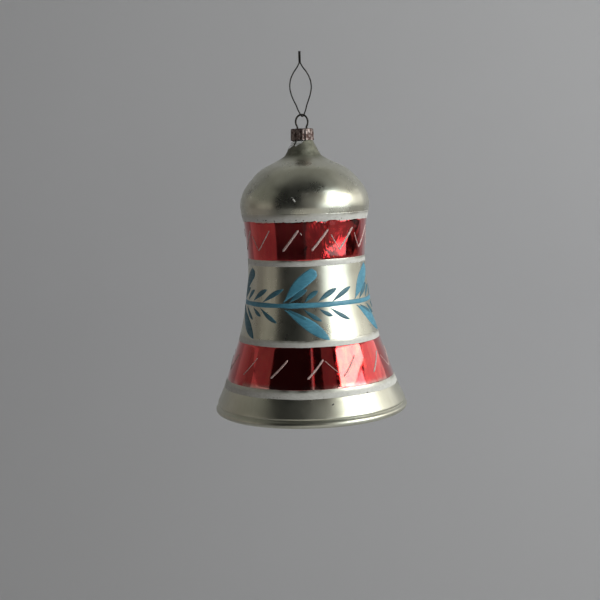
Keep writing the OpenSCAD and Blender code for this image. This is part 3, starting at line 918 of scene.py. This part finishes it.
# ---------------------------------------------------------------- floor, lights and camera
def studio():
    """A pale floor that curves up into a backdrop, and soft panels for a room's window and walls."""
    floor_z, front_y, back_y, bend = -0.30, -2.0, 0.62, 0.25
    top_z, half_width = 1.6, 2.4
    curve = [(front_y, floor_z), (back_y - bend, floor_z)]
    for a in np.radians(np.arange(6, 91, 6)):
        curve.append((back_y - bend + bend * math.sin(a), floor_z + bend - bend * math.cos(a)))
    curve.append((back_y, top_z))
    points = [(x, y, z) for y, z in curve for x in (-half_width, half_width)]
    faces = [(2 * i, 2 * i + 1, 2 * i + 3, 2 * i + 2) for i in range(len(curve) - 1)]
    mesh = bpy.data.meshes.new("floor")
    mesh.from_pydata(points, [], faces)
    mesh.polygons.foreach_set("use_smooth", [True] * len(mesh.polygons))
    mesh.materials.append(plain_floor())
    sweep = bpy.data.objects.new("floor", mesh)
    bpy.context.scene.collection.objects.link(sweep)

    world = bpy.data.worlds.new("room")
    world.use_nodes = True
    world.node_tree.nodes["Background"].inputs["Color"].default_value = (0.9, 0.95, 1.0, 1)
    world.node_tree.nodes["Background"].inputs["Strength"].default_value = 0.012
    bpy.context.scene.world = world
    bpy.context.scene.view_settings.view_transform = "Standard"

    # name, azimuths in degrees, distance, heights, radiance, colour
    panel("window", (37, 80), 0.85, (0.16, 0.31), 3.6, (0.90, 0.98, 1.0))
    panel("window_middle", (43, 89), 0.85, (0.31, 0.50), 7.0, (1.0, 0.98, 0.86))
    panel("window_top", (47, 70), 0.85, (0.50, 0.92), 3.4, (0.90, 0.98, 1.0))
    panel("window_sill", (31, 82), 0.85, (-0.10, 0.16), 1.9, (0.90, 0.98, 1.0))
    panel("beside_window", (18, 37), 0.85, (-0.05, 0.9), 0.12, (1.0, 0.85, 0.80))
    panel("under_window", (37, 140), 0.9, (-0.27, -0.10), 0.24, (1.0, 0.90, 0.85))
    panel("table_edge", (-4, 37), 0.9, (-0.27, -0.05), 0.11, (1.0, 0.88, 0.85))
    panel("right_wall", (80, 135), 1.0, (-0.05, 0.15), 0.70, (1.0, 0.98, 0.92))
    panel("right_wall_middle", (80, 140), 1.0, (0.15, 0.36), 1.08, (1.0, 0.97, 0.93))
    panel("right_wall_upper", (89, 140), 1.0, (0.36, 0.55), 0.64, (1.0, 0.97, 0.93))
    panel("right_wall_high", (80, 150), 1.1, (0.55, 1.5), 0.35, (1.0, 0.98, 0.93))
    panel("left_wall", (-90, -58), 1.0, (-0.05, 0.31), 0.30, (1.0, 0.93, 0.83))
    panel("left_wall_low", (-140, -58), 1.0, (-0.27, -0.05), 0.17, (1.0, 0.86, 0.78))
    panel("back_left_wall", (-140, -90), 1.0, (-0.05, 0.40), 0.13, (1.0, 0.90, 0.80))
    panel("left_wall_high", (-140, -60), 1.1, (0.34, 1.5), 0.15, (0.98, 0.98, 0.86))
    panel("curtain_gap", (1.5, 4.5), 0.9, (0.05, 1.0), 0.5, (1.0, 0.95, 0.9))
    ceiling = soft_light("ceiling", 1.3, 1.1, 0.19, (1.0, 1.0, 0.92))
    ceiling.location = (0, 0.42, 1.0)
    table = soft_light("table_bounce", 0.9, 0.7, 0.38, (1.0, 0.96, 0.88))
    table.location = (0.12, -0.80, floor_z + 0.01)
    table.rotation_euler = (math.pi, 0, 0)


def soft_light(name, width, height, radiance, colour):
    """A plain rectangular light of an even radiance that the camera doesn't see."""
    light = bpy.data.lights.new(name, "AREA")
    light.shape, light.size, light.size_y = "RECTANGLE", width, height
    light.energy = math.pi * width * height * radiance
    light.color = colour
    lamp = bpy.data.objects.new(name, light)
    lamp.visible_camera = False
    bpy.context.scene.collection.objects.link(lamp)
    return lamp


def panel(name, azimuths, distance, heights, radiance, colour):
    """An upright soft light that faces the bell and spans azimuths, from the front (-Y) towards +X."""
    width = 2 * distance * math.tan(math.radians(azimuths[1] - azimuths[0]) / 2)
    lamp = soft_light(name, width, heights[1] - heights[0], radiance, colour)
    a = math.radians(sum(azimuths) / 2)
    lamp.location = (distance * math.sin(a), -distance * math.cos(a), sum(heights) / 2)
    lamp.rotation_euler = (math.radians(90), 0, a)


CAMERA_DISTANCE, CAMERA_Z = 0.3705, 0.0816
LOOKS_DOWN, LOOKS_LEFT, TILT = 6.76, 0.42, -2.03  # degrees
LENS = 65.1  # mm, for a sensor 36 mm wide


def camera():
    """The main view: level with the dome, looking slightly down, tilted a little."""
    data = bpy.data.cameras.new("camera")
    data.sensor_width = 36
    data.lens = LENS
    data.clip_start = 0.01
    view = bpy.data.objects.new("camera", data)
    pitch, yaw, roll = math.radians(90 - LOOKS_DOWN), math.radians(LOOKS_LEFT), math.radians(TILT)
    view.matrix_world = (
        Matrix.Translation((0, -CAMERA_DISTANCE, CAMERA_Z))
        @ Matrix.Rotation(yaw, 4, "Z")
        @ Matrix.Rotation(pitch, 4, "X")
        @ Matrix.Rotation(roll, 4, "Z")
    )
    bpy.context.scene.collection.objects.link(view)
    bpy.context.scene.camera = view


# ---------------------------------------------------------------- the whole bell
STRIPES = (  # place, seed, wander of the edges in mm, dirt
    ("dome", 1, 0.28, 1.0),
    ("waist_top", 2, 0.12, 0.25),
    ("waist_bottom", 3, 0.12, 0.1),
    ("skirt", 4, 0.12, 0.3),
)
STRIPE_THICKNESS = 0.07 * MM
STRIPE_GROW = 0.12 * MM  # how far a stripe is painted past its CAD edges
RED_THICKNESS = 0.1 * MM
RED_SPLASHES = ((25, 5, 1.1 * MM), (-58, 9, 0.35 * MM), (8, 2, 0.4 * MM), (52, 6, 0.3 * MM))
# Worn down strokes by wave: the part that is left, or None
WORN_ABOVE = {4: None, 6: (0.5, 0.9), 9: (0.1, 0.4), 11: None, 12: (0.1, 0.28)}
WORN_BELOW = {0: (0.05, 0.8), 1: None, 5: (0.4, 1.0), 8: None, 11: None, 12: None, 13: None}

glass_skin()
glass_neck()
for place, seed, wander, dirt in STRIPES:
    stripe = white_stripe(place + "_white", place + "_stripe", dirt)
    piece_name = place + ("_paint" if place.startswith("waist") else "_stripe_paint")
    painted_ring(
        piece_name, place + "_stripe", STRIPE_THICKNESS, wander * MM, seed, stripe, STRIPE_GROW
    )
painted_ring(
    "upper_red_lacquer", "upper_red_band", RED_THICKNESS, wander=0.3 * MM, seed=5,
    material=UPPER_RED, ragged=0.7 * MM, splashes=RED_SPLASHES,
)
painted_ring(
    "lower_red_lacquer", "lower_red_band", RED_THICKNESS, wander=0.12 * MM, seed=6,
    material=LOWER_RED,
)
flecks()
garland()
zigzag(
    "upper_zigzag_line", "upper_zigzag", first=5, ends=(55.9, 62.9), waves=13, share_up=0.58,
    widths=(0.95, 0.38), worn=WORN_ABOVE, faint=(11,), seed=21,
)
zigzag(
    "lower_zigzag_line", "lower_zigzag", first=-2.5, ends=(15.2, 21.2), waves=14, share_up=0.46,
    widths=(0.78, 0.30), worn=WORN_BELOW, faint=(12,), seed=31,
)
cap()
ring_clip()
hanging_loop()
clapper()
studio()
camera()
